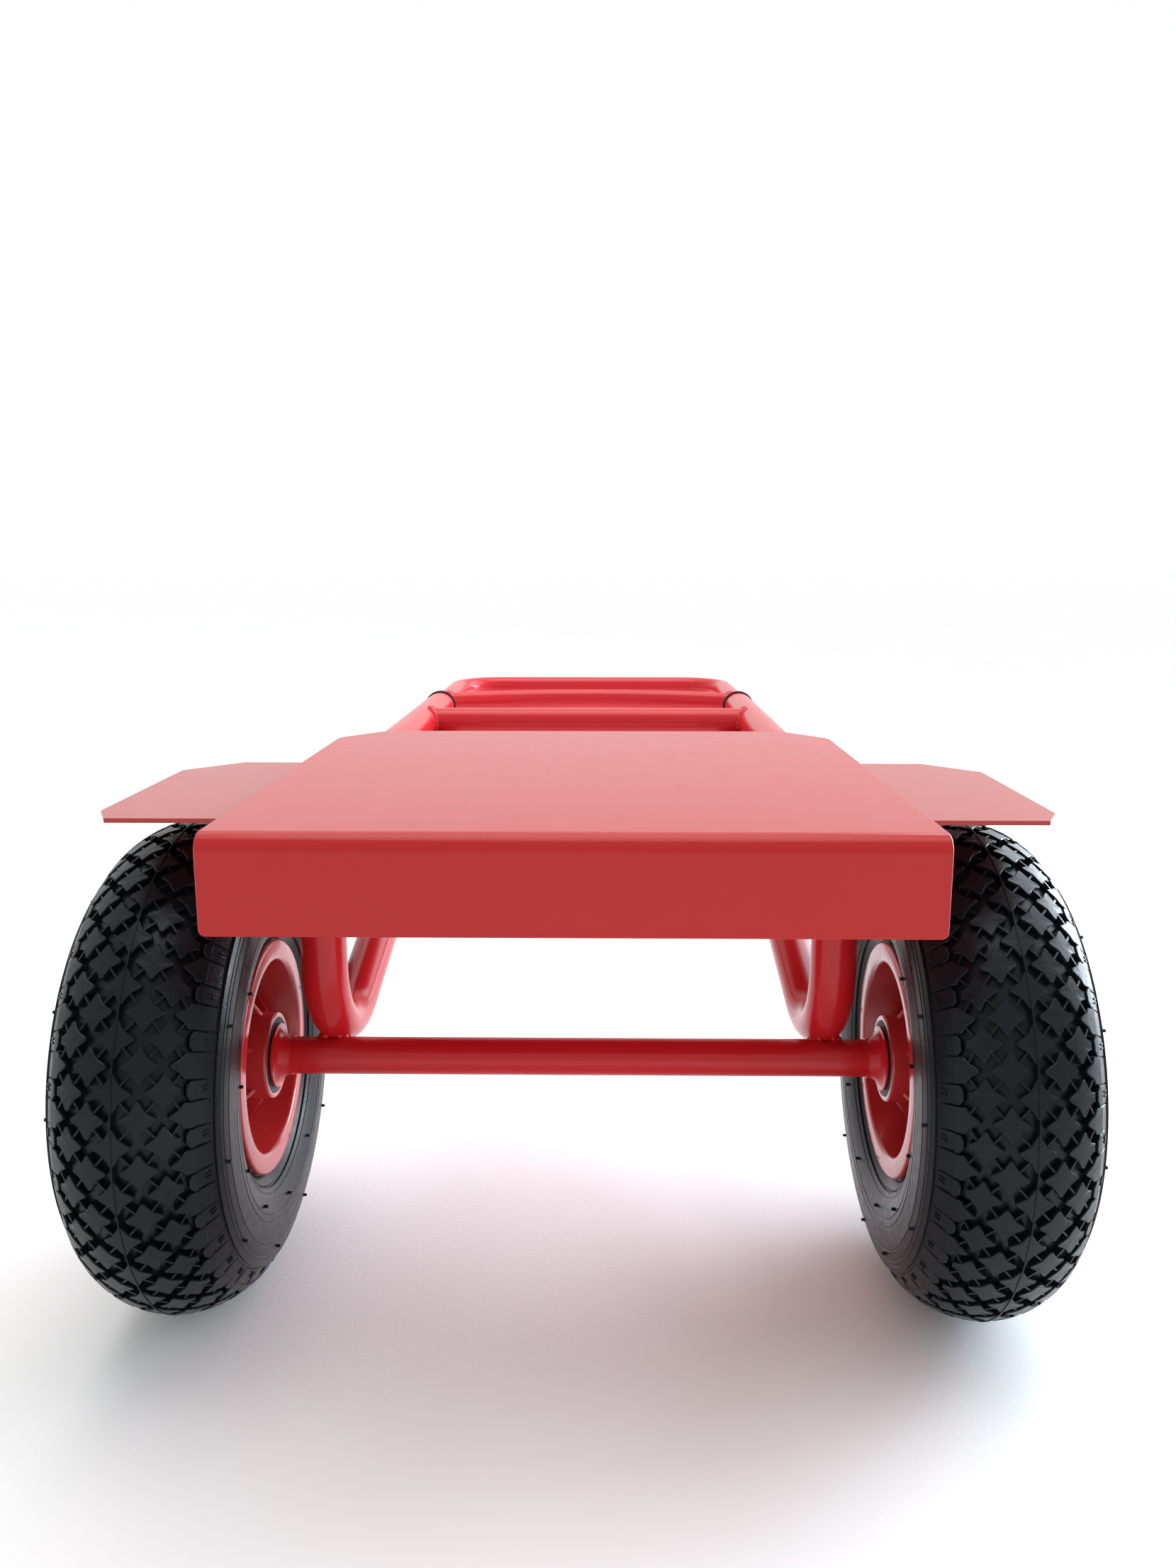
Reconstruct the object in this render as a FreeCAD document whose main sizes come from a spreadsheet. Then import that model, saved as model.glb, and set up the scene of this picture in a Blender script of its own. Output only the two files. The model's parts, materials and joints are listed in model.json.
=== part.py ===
# Two-wheeled folding hand truck: tubular frame, telescopic loop handle, folding toe plate,
# pneumatic wheels.  It lies load side up with the toe plate folded over the rails.
# +X right, +Y towards the handle, +Z up (load side); the origin is the bottom centre of the box.
import FreeCAD, Part
import math
import os
import Sketcher
from FreeCAD import Placement, Rotation, Vector

os.makedirs("parts", exist_ok=True)
doc = FreeCAD.newDocument("HandTruck")

# ---------------------------------------------------------------- driving dimensions (mm)
dims = {
    "axle_y": -254, "axle_z": 130,
    # side rails
    "rail_x": 134, "rail_z": 266.7, "rail_od": 25, "rail_id": 21,
    "rail_back": 198, "crossbar_y": 96, "crossbar_od": 22, "crossbar_id": 18,
    # bent legs that carry the axle
    "leg_od": 24, "leg_id": 20, "leg_front": 10, "leg_bend": 45, "leg_bend_z": 185,
    "leg_rise": 20, "leg_lean": 2.45, "leg_run": 313,
    # axle
    "axle_tube_od": 20, "axle_tube_id": 16.1, "axle_tube_half": 160.9,
    "rod_od": 16, "rod_half": 248, "pin_x": 243.9, "pin_od": 3, "pin_hole": 3.2, "pin_half": 13,
    "pin_eye_r": 3.2, "pin_eye_wire": 1.7,
    "washer_in_a": 11.5, "washer_in_b": 17, "washer_in_t": 3.2,
    "washer_out_od": 30, "washer_out_x": 239.8, "washer_out_t": 2,
    # wheel guards
    "guard_outer": 224, "guard_inner": 136, "guard_t": 2.2, "guard_top": 279.2,
    "guard_near": 79, "guard_far": 75, "guard_near_cut": 17, "guard_far_cut": 27,
    # toe plate and its hinge
    "plate_half": 158, "plate_front": -382, "plate_length": 308, "plate_t": 3.5,
    "plate_under": 279.6, "lip_low": 238.6, "lip_bend": 8, "plate_cut_x": 26, "plate_cut_y": 31,
    "plate_cut_soft": 14, "lip_corner": 3,
    "pivot_y": -365.7, "bolt_od": 8, "bolt_hole": 8.04, "lug_hole": 8.16,
    "lug_t": 3, "lug_gap": 0.5, "lug_play": 0.2, "lug_back": 12,
    "bolt_washer_od": 16, "bolt_washer_t": 1.6, "bolt_head_t": 5.3, "bolt_across": 13,
    "nut_t": 6.5, "bolt_tail": 2,
    # telescopic handle
    "handle_od": 19, "handle_id": 16, "handle_low": -214, "handle_end": 374.5, "handle_bend": 42,
    "grip_bar_y": 225, "grip_bar_bow": 30, "grip_bar_od": 18, "grip_bar_id": 15, "stroke": 350,
    "bush_in": 30, "bush_id": 19.16, "bush_od": 20.9, "ring_od": 27.4, "ring_t": 4.5,
    "glide_y": -196, "glide_t": 13.7, "glide_od": 20.84,
    "button_y": -206, "button_od": 7, "button_hole": 7.16, "button_gap": 7.7,
    "button_tip": 9.3, "button_root": 3,
    "spring_w": 6, "spring_t": 0.8, "spring_low": -2.8, "spring_high": 6, "spring_flat": 3,
    "spring_fold": 20, "spring_reach": 24, "spring_heel": 5,
    # how far a cutting shape runs past the piece that it cuts
    "tool_past": 1,
    # wheels, measured from the middle plane of the wheel and from its axis
    "wheel_x": 202, "tyre_half": 42, "tyre_wide_r": 92, "side_low": 38,
    "side_high": 34, "shoulder_x": 30, "shoulder_r": 119, "crown_bend": 46.4,
    "bead_out": 33, "bead_in": 20, "bead_r": 58.5, "flange_cover_r": 62.9,
    "tube_ring_r": 92, "cavity_bend": 31, "tube_r": 30.6, "tube_skin": 2,
    "flange_r": 62.5, "flange_half": 36.5, "flange_in": 33.2, "seat_r": 58.4, "dish_r": 51.5,
    "dish_floor_r": 46, "web_half": 5, "hub_r": 23, "hub_root_r": 24, "hub_half": 37.5, "hub_bore": 20,
    "hub_core": 11, "rib_t": 3, "rib_hub": 31, "rib_rim": 12, "rib_count": 6, "rib_out_r": 48.5,
    "bearing_r": 19.98, "bearing_bore": 8.05, "bearing_out": 35.9, "bearing_in": 24.7,
    "seal_out": 37.1, "seal_bore": 9, "spacer_r": 10.5, "spacer_bore": 8.3, "spacer_half": 24.6,
    "valve_z": 16, "valve_r": 3.8, "valve_top": 60, "valve_low": 39, "valve_hole": 4.1,
    "valve_cap_r": 4.6, "valve_cap_low": 29, "valve_cap_top": 38.9, "valve_turn": 30,
}
sheet = doc.addObject("Spreadsheet::Sheet", "Dims")
for row, (alias, size) in enumerate(dims.items(), start=1):
    sheet.set(f"A{row}", alias)
    sheet.set(f"B{row}", str(size))
    sheet.setAlias(f"B{row}", alias)
doc.recompute()

nodes = []


def cells(text):
    """Turns the plain words of an expression into references to the sheet."""
    for word in sorted(dims, key=len, reverse=True):
        text = text.replace(word, f"#{list(dims).index(word)}#")
    for place, word in enumerate(dims):
        text = text.replace(f"#{place}#", f"Dims.{word}")
    return text


def value(text):
    """The number that an expression has now."""
    result = sheet.evalExpression(cells(str(text)))
    return float(getattr(result, "Value", result))


def bind(thing, **sizes):
    """Ties properties of an object to expressions in the sheet's words."""
    for name, text in sizes.items():
        thing.setExpression(name.replace("__", "."), cells(str(text)))


def place(thing, x="0", y="0", z="0", axis=(0, 0, 1), angle="0"):
    """Puts an object at a bound place, turned by a bound angle."""
    thing.Placement = Placement(Vector(0, 0, 0), Rotation(Vector(*axis), value(angle)))
    bind(thing, Placement__Base__x=x, Placement__Base__y=y, Placement__Base__z=z)
    if angle != "0" and not str(angle).lstrip("-").isdigit():
        bind(thing, Placement__Rotation__Angle=angle)


def node(thing, label):
    """Names a finished sub-part and keeps it for the list of nodes."""
    thing.Label = label
    nodes.append(thing)
    return thing


# ---------------------------------------------------------------- sketches and bodies
def newBody(name):
    return doc.addObject("PartDesign::Body", name)


def originPlane(body, role):
    return next(f for f in body.Origin.OriginFeatures if f.Role == role)


def arcBetween(a, b, radius, turn):
    """A minor arc from a to b; turn is 1 for anticlockwise and -1 for clockwise, 2 for a major one."""
    half = (b - a) * 0.5
    rise = math.sqrt(max(radius ** 2 - half.Length ** 2, 0.0))
    side = Vector(-half.y, half.x, 0).normalize()
    big = abs(turn) == 2
    sign = math.copysign(1, turn) * (-1 if big else 1)
    centre = a + half + side * (rise * sign)
    start, end = (a, b) if turn > 0 else (b, a)
    first = math.atan2(start.y - centre.y, start.x - centre.x)
    last = math.atan2(end.y - centre.y, end.x - centre.x)
    return Part.ArcOfCircle(Part.Circle(centre, Vector(0, 0, 1), radius), first, last)


def drawn(body, name, plane, loops, closed=True):
    """A sketch of outlines.  Each step is (x, y) for a line to that point, or
    (x, y, radius, turn) for an arc to it, and every size is an expression."""
    sketch = body.newObject("Sketcher::SketchObject", name)
    sketch.AttachmentSupport = [(originPlane(body, plane), "")]
    sketch.MapMode = "FlatFace"
    for loop in loops:
        points = [Vector(value(step[0]), value(step[1]), 0) for step in loop]
        count = len(loop) if closed else len(loop) - 1
        ends = []
        for i in range(count):
            a, b = points[i], points[(i + 1) % len(points)]
            step = loop[(i + 1) % len(loop)]
            if len(step) == 4:
                index = sketch.addGeometry(arcBetween(a, b, value(step[2]), step[3]), False)
                ends.append((index, 1, 2) if step[3] > 0 else (index, 2, 1))
                radius = sketch.addConstraint(Sketcher.Constraint("Radius", index, value(step[2])))
                sketch.setExpression(f"Constraints[{radius}]", cells(str(step[2])))
            else:
                index = sketch.addGeometry(Part.LineSegment(a, b), False)
                ends.append((index, 1, 2))
            for kind, text in (("DistanceX", loop[i][0]), ("DistanceY", loop[i][1])):
                held = sketch.addConstraint(
                    Sketcher.Constraint(kind, -1, 1, index, ends[-1][1], value(text)))
                sketch.setExpression(f"Constraints[{held}]", cells(str(text)))
        for (one, _, tail), (two, head, _) in zip(ends, ends[1:] + (ends[:1] if closed else [])):
            sketch.addConstraint(Sketcher.Constraint("Coincident", one, tail, two, head))
        if not closed:
            index, _, tail = ends[-1]
            for kind, text in (("DistanceX", loop[-1][0]), ("DistanceY", loop[-1][1])):
                held = sketch.addConstraint(
                    Sketcher.Constraint(kind, -1, 1, index, tail, value(text)))
                sketch.setExpression(f"Constraints[{held}]", cells(str(text)))
    return sketch


def circles(body, name, plane, rings):
    """A sketch of circles, each (x, y, diameter) in expressions."""
    sketch = body.newObject("Sketcher::SketchObject", name)
    sketch.AttachmentSupport = [(originPlane(body, plane), "")]
    sketch.MapMode = "FlatFace"
    for x, y, across in rings:
        middle = Vector(value(x), value(y), 0)
        index = sketch.addGeometry(Part.Circle(middle, Vector(0, 0, 1), value(across) / 2), False)
        for kind, text in (("DistanceX", x), ("DistanceY", y)):
            held = sketch.addConstraint(Sketcher.Constraint(kind, -1, 1, index, 3, value(text)))
            sketch.setExpression(f"Constraints[{held}]", cells(str(text)))
        held = sketch.addConstraint(Sketcher.Constraint("Diameter", index, value(across)))
        sketch.setExpression(f"Constraints[{held}]", cells(str(across)))
    return sketch


def pad(body, sketch, length, midplane=False, reverse=False):
    feature = body.newObject("PartDesign::Pad", "Pad")
    feature.Profile = sketch
    bind(feature, Length=length)
    feature.Midplane = midplane
    feature.Reversed = reverse
    return feature


def pocket(body, sketch, midplane=False, reverse=False):
    """A cut through everything; it must take material away."""
    doc.recompute()
    before = body.Shape.Volume
    feature = body.newObject("PartDesign::Pocket", "Pocket")
    feature.Profile = sketch
    feature.Type = "ThroughAll"
    feature.Midplane = midplane
    feature.Reversed = reverse
    doc.recompute()
    assert body.Shape.Volume < before - 1, f"{body.Name}: the pocket cuts nothing"
    return feature


def revolve(body, sketch):
    feature = body.newObject("PartDesign::Revolution", "Revolution")
    feature.Profile = sketch
    feature.ReferenceAxis = (sketch, ["V_Axis"])
    feature.Angle = 360
    return feature


def pipe(name, pathSteps, pathPlane, ringPlane, ringAt, outer, inner):
    """A bent tube: a ring swept along an open path of lines and arcs."""
    body = newBody(name)
    path = drawn(body, name + "Path", pathPlane, [pathSteps], closed=False)
    path.Visibility = False
    x, y = ringAt
    ring = circles(body, name + "Ring", ringPlane, [(x, y, outer), (x, y, inner)])
    doc.recompute()
    feature = body.newObject("PartDesign::AdditivePipe", "Pipe")
    feature.Profile = ring
    feature.Spine = (path, [f"Edge{i + 1}" for i in range(len(path.Geometry))])
    feature.Transition = "Transformed"
    return body


# ---------------------------------------------------------------- simple solids
def cylinder(name, radius, length, x="0", y="0", z="0", along="X"):
    """A cylinder with its start at a place, along +X, +Y or +Z."""
    solid = doc.addObject("Part::Cylinder", name)
    bind(solid, Radius=radius, Height=length)
    axis, angle = {"X": ((0, 1, 0), "90"), "Y": ((1, 0, 0), "-90"), "Z": ((0, 0, 1), "0")}[along]
    place(solid, x, y, z, axis, angle)
    return solid


def cut(name, base, *tools):
    """A solid with tools taken away from it."""
    tool = tools[0] if len(tools) == 1 else fused(name + "Tools", tools)
    result = doc.addObject("Part::Cut", name)
    result.Base = base
    result.Tool = tool
    return result


def fused(name, pieces):
    result = doc.addObject("Part::MultiFuse", name)
    result.Shapes = list(pieces)
    return result


def grouped(name, pieces):
    """Separate solids of one kind in one node."""
    result = doc.addObject("Part::Compound", name)
    result.Links = list(pieces)
    return result


def ring(name, outer, inner, length, x="0", y="0", z="0", along="X"):
    return cut(name, cylinder(name + "Disc", outer, length, x, y, z, along),
               cylinder(name + "Bore", inner, length, x, y, z, along))


sides = (("left", "-", -1), ("right", "", 1))
railTop = "rail_z + rail_od / 2"


def railTool(name, sign, across="rail_od"):
    """The full round of a side rail, used to fit other parts against it."""
    return cylinder(name, f"{across} / 2", "rail_back - plate_front", f"{sign}rail_x",
                    "plate_front", "rail_z", "Y")


# ---------------------------------------------------------------- side rails
def makeRail(side, sign):
    body = newBody("Rail" + side)
    start = "(pivot_y - rail_od / 2)"
    wall = circles(body, "Wall" + side, "XY_Plane", [("0", "0", "rail_od"), ("0", "0", "rail_id")])
    pad(body, wall, f"rail_back - {start}")
    radius = "rail_od / 2"
    rounding = drawn(body, "Rounding" + side, "YZ_Plane", [[
        (f"-{radius} - tool_past", radius), (f"-{radius} - tool_past", "-tool_past"),
        (f"{radius} + tool_past", "-tool_past"), (f"{radius} + tool_past", radius),
        (radius, radius), ("0", "0", radius, -1),
        (f"-{radius}", radius, radius, -1)]])
    pocket(body, rounding, midplane=True)
    pivot = circles(body, "Pivot" + side, "YZ_Plane", [("0", radius, "bolt_hole")])
    pocket(body, pivot, midplane=True)
    lockAt = f"button_y - {start}"
    locks = circles(body, "Locks" + side, "XZ_Plane", [
        ("0", lockAt, "button_gap"), ("0", f"{lockAt} + stroke", "button_gap")])
    pocket(body, locks)
    place(body, f"{sign}rail_x", start, "rail_z", (1, 0, 0), "-90")
    node(body, "rail_" + side)


# ---------------------------------------------------------------- bent legs
def makeLeg(side, sign, way):
    """A vertical front leg, a bend over the axle tube and a long back stay, coped to its rail."""
    turn = "leg_rise"
    bendY = f"leg_bend + leg_bend * sin({turn})"
    bendZ = f"leg_bend_z - leg_bend * cos({turn})"
    body = pipe("Leg" + side, [
        ("0", "rail_z"), ("0", "leg_bend_z"), (bendY, bendZ, "leg_bend", 1),
        (f"{bendY} + leg_run * cos({turn})", f"{bendZ} + leg_run * sin({turn})")],
        "YZ_Plane", "XY_Plane", ("0", "0"), "leg_od", "leg_id")
    ringSketch = doc.getObject("Leg" + side + "Ring")
    ringSketch.setExpression("AttachmentOffset.Base.z", cells("rail_z"))
    place(body, f"{sign}rail_x", "axle_y - leg_front", "0", (0, 0, way), "leg_lean")
    axle = cylinder("LegAxleTool" + side, "axle_tube_od / 2", "2 * axle_tube_half",
                    "-axle_tube_half", "axle_y", "axle_z")
    bar = cylinder("LegBarTool" + side, "crossbar_od / 2", "2 * rail_x", "-rail_x",
                   "crossbar_y", "rail_z")
    coped = cut("CopedLeg" + side, body, railTool("LegRailTool" + side, sign), axle, bar)
    node(coped, "leg_" + side)


# ---------------------------------------------------------------- cross members and axle
def makeCrossbar():
    bar = ring("CrossbarTube", "crossbar_od / 2", "crossbar_id / 2", "2 * rail_x",
               "-rail_x", "crossbar_y", "rail_z")
    tools = [railTool("CrossbarTool" + side, sign) for side, sign, _ in sides]
    node(cut("Crossbar", bar, *tools), "frame_crossbar")


def makeAxle():
    tube = ring("AxleTube", "axle_tube_od / 2", "axle_tube_id / 2", "2 * axle_tube_half",
                "-axle_tube_half", "axle_y", "axle_z")
    node(tube, "axle_tube")
    rod = cylinder("Rod", "rod_od / 2", "2 * rod_half", "-rod_half", "axle_y", "axle_z")
    holes = [cylinder("PinHole" + side, "pin_hole / 2", "rod_od + 2 * tool_past", f"{sign}pin_x",
                      "axle_y", "axle_z - rod_od / 2 - tool_past", "Z") for side, sign, _ in sides]
    node(cut("AxleRod", rod, *holes), "axle_rod")
    pins = []
    for side, sign, _ in sides:
        shank = cylinder("PinShank" + side, "pin_od / 2", "2 * pin_half", f"{sign}pin_x",
                         "axle_y", "axle_z - pin_half", "Z")
        eye = doc.addObject("Part::Torus", "PinEye" + side)
        bind(eye, Radius1="pin_eye_r", Radius2="pin_eye_wire")
        place(eye, f"{sign}pin_x", "axle_y", "axle_z + pin_half + pin_eye_r", (0, 1, 0), "90")
        pins.append(fused("Pin" + side, [shank, eye]))
    node(grouped("Pins", pins), "axle_split_pins")
    outer = []
    inner = []
    for side, sign, way in sides:
        start = "washer_out_x" if way > 0 else "-washer_out_x - washer_out_t"
        outer.append(ring("OuterWasher" + side, "washer_out_od / 2", "bearing_bore",
                          "washer_out_t", start, "axle_y", "axle_z"))
        flare = doc.addObject("Part::Cone", "Flare" + side)
        bind(flare, Radius1="washer_in_a", Radius2="washer_in_b", Height="washer_in_t")
        place(flare, f"{sign}axle_tube_half", "axle_y", "axle_z", (0, way, 0), "90")
        inner.append(cut("InnerWasher" + side, flare, cylinder(
            "FlareBore" + side, "bearing_bore", "2 * rod_half", "-rod_half", "axle_y", "axle_z")))
    node(grouped("OuterWashers", outer), "axle_outer_washers")
    node(grouped("InnerWashers", inner), "axle_inner_washers")


# ---------------------------------------------------------------- wheel guards
def makeGuard(side, sign, way):
    """A flat wing over the wheel with cut corners, welded along the rail."""
    body = newBody("Guard" + side)
    inner, outer = f"{sign}guard_inner", f"{sign}guard_outer"
    near, far = "-guard_near", "guard_far"
    corners = [
        (inner, near), (f"{sign}(guard_outer - guard_near_cut / 2)", near),
        (outer, f"{near} + guard_near_cut"), (outer, f"{far} - guard_far_cut"),
        (f"{sign}(guard_outer - guard_far_cut)", far), (inner, far)]
    pad(body, drawn(body, "GuardOutline" + side, "XY_Plane", [corners]), "guard_t")
    place(body, "0", "axle_y", "guard_top - guard_t")
    coped = cut("CopedGuard" + side, body, railTool("GuardTool" + side, sign))
    node(coped, "wheel_guard_" + side)


# ---------------------------------------------------------------- toe plate and hinge
def shortEdges(shape, along, wanted):
    """Names of the straight edges that span the sheet's thickness at a wanted place."""
    found = []
    for number, edge in enumerate(shape.Edges, start=1):
        box = edge.BoundBox
        span = Vector(box.XLength, box.YLength, box.ZLength)
        if (span - along).Length < 0.01 and wanted(box.Center):
            found.append(f"Edge{number}")
    return found


def makeToePlate():
    """An L of sheet steel: the plate over the rails and the lip in front of their ends."""
    body = newBody("ToePlate")
    front, back = "plate_front", "plate_front + plate_length"
    top, under = "plate_under + plate_t", "plate_under"
    bend, inside = "lip_bend", "(lip_bend - plate_t)"
    side = drawn(body, "ToeProfile", "YZ_Plane", [[
        (front, "lip_low"), (f"{front} + plate_t", "lip_low"),
        (f"{front} + plate_t", f"{under} - {inside}"),
        (f"{front} + plate_t + {inside}", under, inside, -1),
        (back, under), (back, top), (f"{front} + {bend}", top),
        (front, f"{top} - {bend}", bend, 1)]])
    pad(body, side, "2 * plate_half", midplane=True)
    edge = "plate_half + tool_past"
    cuts = []
    for way in ("-", ""):
        cuts.append([
            (f"{way}plate_half", f"{back} - plate_cut_y"),
            (f"{way}(plate_half - plate_cut_x)", back),
            (f"{way}(plate_half - plate_cut_x)", f"{back} + tool_past"),
            (f"{way}({edge})", f"{back} + tool_past"),
            (f"{way}({edge})", f"{back} - plate_cut_y")])
    pocket(body, drawn(body, "ToeCuts", "XY_Plane", cuts), midplane=True)
    doc.recompute()
    base = body.Tip
    height = value("plate_t")
    cutStart = value(f"{back} - plate_cut_y - tool_past")
    lipEnd = value("lip_low + tool_past")
    backCorners = shortEdges(base.Shape, Vector(0, 0, height), lambda middle: middle.y > cutStart)
    corners = body.newObject("PartDesign::Fillet", "CornerFillet")
    corners.Base = (base, backCorners)
    bind(corners, Radius="plate_cut_soft")
    doc.recompute()
    lipCorners = shortEdges(corners.Shape, Vector(0, height, 0), lambda middle: middle.z < lipEnd)
    lip = body.newObject("PartDesign::Fillet", "LipFillet")
    lip.Base = (corners, lipCorners)
    bind(lip, Radius="lip_corner")
    node(body, "toe_plate")


def makeLug(side, way, end, start):
    """An ear welded inside the L, beside the rail's end, that turns on the hinge bolt."""
    body = newBody("Lug" + end + side)
    front, top = "plate_front + plate_t", "plate_under"
    corner = "lip_bend"
    outline = drawn(body, "LugOutline" + end + side, "YZ_Plane", [[
        (front, f"{top} - {corner}"), (f"{front} + {corner}", top),
        ("pivot_y + lug_back", top), ("pivot_y + lug_back", "rail_z"),
        ("pivot_y", "rail_z - lug_back", "lug_back", -1),
        (front, "rail_z - lug_back")]])
    pad(body, outline, "lug_t")
    pocket(body, circles(body, "LugHole" + end + side, "YZ_Plane",
                         [("pivot_y", "rail_z", "lug_hole")]), midplane=True)
    place(body, start if way > 0 else f"-({start}) - lug_t")
    node(body, f"toe_lug_{side}_{end}")


def hexagon(name, across, length, x):
    prism = doc.addObject("Part::Prism", name)
    prism.Polygon = 6
    bind(prism, Circumradius=f"{across} / sqrt(3)", Height=length)
    place(prism, x, "pivot_y", "rail_z", (0, 1, 0), "90")
    return prism


def makeHinge():
    """A bolt through each rail's end and both lugs, with washers and a lock nut."""
    outerLug = "(rail_x + rail_od / 2 + lug_gap)"
    innerLug = "(rail_x - rail_od / 2 - lug_gap - lug_t)"
    outerWasher = f"({outerLug} + lug_t + lug_play)"
    innerWasher = f"({innerLug} - lug_play - bolt_washer_t)"
    head = f"({outerWasher} + bolt_washer_t)"
    nut = f"({innerWasher} - nut_t)"
    bolts, nuts, washers = [], [], []

    def outward(way, start, length):
        return start if way > 0 else f"-({start}) - {length}"

    for side, sign, way in sides:
        makeLug(side, way, "outer", outerLug)
        makeLug(side, way, "inner", innerLug)
        shankLength = f"({head} - {nut} + bolt_tail)"
        shank = cylinder("Shank" + side, "bolt_od / 2", shankLength,
                         outward(way, f"{nut} - bolt_tail", shankLength), "pivot_y", "rail_z")
        cap = hexagon("Head" + side, "bolt_across", "bolt_head_t",
                      outward(way, head, "bolt_head_t"))
        bolts.append(fused("Bolt" + side, [shank, cap]))
        body = hexagon("NutBody" + side, "bolt_across", "nut_t", outward(way, nut, "nut_t"))
        bore = cylinder("NutBore" + side, "bolt_hole / 2", "nut_t",
                        outward(way, nut, "nut_t"), "pivot_y", "rail_z")
        nuts.append(cut("Nut" + side, body, bore))
        for end, start in (("Outer", outerWasher), ("Inner", innerWasher)):
            washers.append(ring("HingeWasher" + end + side, "bolt_washer_od / 2", "bolt_hole / 2",
                                "bolt_washer_t", outward(way, start, "bolt_washer_t"),
                                "pivot_y", "rail_z"))
    node(grouped("HingeBolts", bolts), "hinge_bolts")
    node(grouped("HingeNuts", nuts), "hinge_nuts")
    node(grouped("HingeWashers", washers), "hinge_washers")


# ---------------------------------------------------------------- telescopic handle
def makeHandle():
    """One tube bent to a loop; its two legs slide in the rails."""
    low, end, bend = "handle_low", "handle_end", "handle_bend"
    body = pipe("Loop", [
        ("-rail_x", low), ("-rail_x", f"{end} - {bend}"),
        (f"-rail_x + {bend}", end, bend, -1), (f"rail_x - {bend}", end),
        ("rail_x", f"{end} - {bend}", bend, -1), ("rail_x", low)],
        "XY_Plane", "XZ_Plane", ("-rail_x", "0"), "handle_od", "handle_id")
    doc.getObject("LoopRing").setExpression("AttachmentOffset.Base.z", cells("-handle_low"))
    place(body, "0", "0", "rail_z")
    holes = [cylinder("ButtonHole" + side, "button_hole / 2", "handle_od / 2", f"{sign}rail_x",
                      "button_y", "rail_z - handle_od / 2 - tool_past", "Z") for side, sign, _ in sides]
    node(cut("HandleLoop", body, *holes), "handle_loop")

    bow, reach = "grip_bar_bow", "rail_x"
    radius = f"(({reach} ^ 2 + {bow} ^ 2) / (2 * {bow}))"
    bar = pipe("Bar", [(f"-{reach}", "grip_bar_y"), (reach, "grip_bar_y", radius, -1)],
               "XY_Plane", "YZ_Plane", ("grip_bar_y", "0"), "grip_bar_od", "grip_bar_id")
    doc.getObject("BarRing").setExpression("AttachmentOffset.Base.z", cells(f"-{reach}"))
    place(bar, "0", "0", "rail_z")
    tools = [railTool("BarTool" + side, sign, "handle_od") for side, sign, _ in sides]
    for tool in tools:
        bind(tool, Height="handle_end - plate_front")
    node(cut("HandleCrossbar", bar, *tools), "handle_crossbar")

    for side, sign, way in sides:
        bush = cylinder("BushSleeve" + side, "bush_od / 2", "bush_in", f"{sign}rail_x",
                        "rail_back - bush_in", "rail_z", "Y")
        flange = cylinder("BushFlange" + side, "ring_od / 2", "ring_t", f"{sign}rail_x",
                          "rail_back", "rail_z", "Y")
        bore = cylinder("BushBore" + side, "bush_id / 2", "bush_in + ring_t", f"{sign}rail_x",
                        "rail_back - bush_in", "rail_z", "Y")
        node(cut("Bush" + side, fused("BushBody" + side, [bush, flange]), bore),
             "guide_bush_" + side)

    glides = []
    for side, sign, way in sides:
        glides.append(ring("Glide" + side, "glide_od / 2", "handle_od / 2", "glide_t",
                           f"{sign}rail_x", "glide_y", "rail_z", "Y"))
    node(grouped("Glides", glides), "handle_glides")

    for side, sign, way in sides:
        button = cylinder("Button" + side, "button_od / 2", "button_tip - button_root",
                          f"{sign}rail_x", "button_y", "rail_z - button_tip", "Z")
        node(button, "lock_button_" + side)
        spring = newBody("Spring" + side)
        lowInside, highOutside = "spring_low + spring_t", "spring_high + spring_t"
        outline = drawn(spring, "SpringOutline" + side, "YZ_Plane", [[
            ("-spring_flat", "spring_low"), ("spring_flat", "spring_low"),
            ("spring_reach", "spring_heel"), ("spring_reach", highOutside),
            ("-spring_flat", highOutside), ("-spring_flat", "spring_high"),
            ("spring_fold", "spring_high"), ("spring_flat", lowInside),
            ("-spring_flat", lowInside)]])
        pad(spring, outline, "spring_w", midplane=True)
        place(spring, f"{sign}rail_x", "button_y", "rail_z")
        node(spring, "lock_spring_" + side)


# ---------------------------------------------------------------- wheels
def placeWheelPart(thing, sign, way):
    """Local +Z becomes the outward direction of the wheel."""
    place(thing, f"{sign}wheel_x", "axle_y", "axle_z", (0, way, 0), "90")


def makeTyre(side, sign, way):
    body = newBody("Tyre" + side)
    low = "tube_ring_r - sqrt(cavity_bend ^ 2 - bead_in ^ 2)"
    section = drawn(body, "TyreSection" + side, "XZ_Plane", [[
        ("bead_r", "bead_in"), ("bead_r", "bead_out"), ("flange_cover_r", "bead_out"),
        ("tyre_wide_r", "tyre_half", "side_low", -1),
        ("shoulder_r", "shoulder_x", "side_high", -1),
        ("shoulder_r", "-shoulder_x", "crown_bend", -1),
        ("tyre_wide_r", "-tyre_half", "side_high", -1),
        ("flange_cover_r", "-bead_out", "side_low", -1),
        ("bead_r", "-bead_out"), ("bead_r", "-bead_in"), (low, "-bead_in"),
        (low, "bead_in", "cavity_bend", 2)]])
    revolve(body, section)
    placeWheelPart(body, sign, way)
    node(body, "tyre_" + side)


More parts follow.
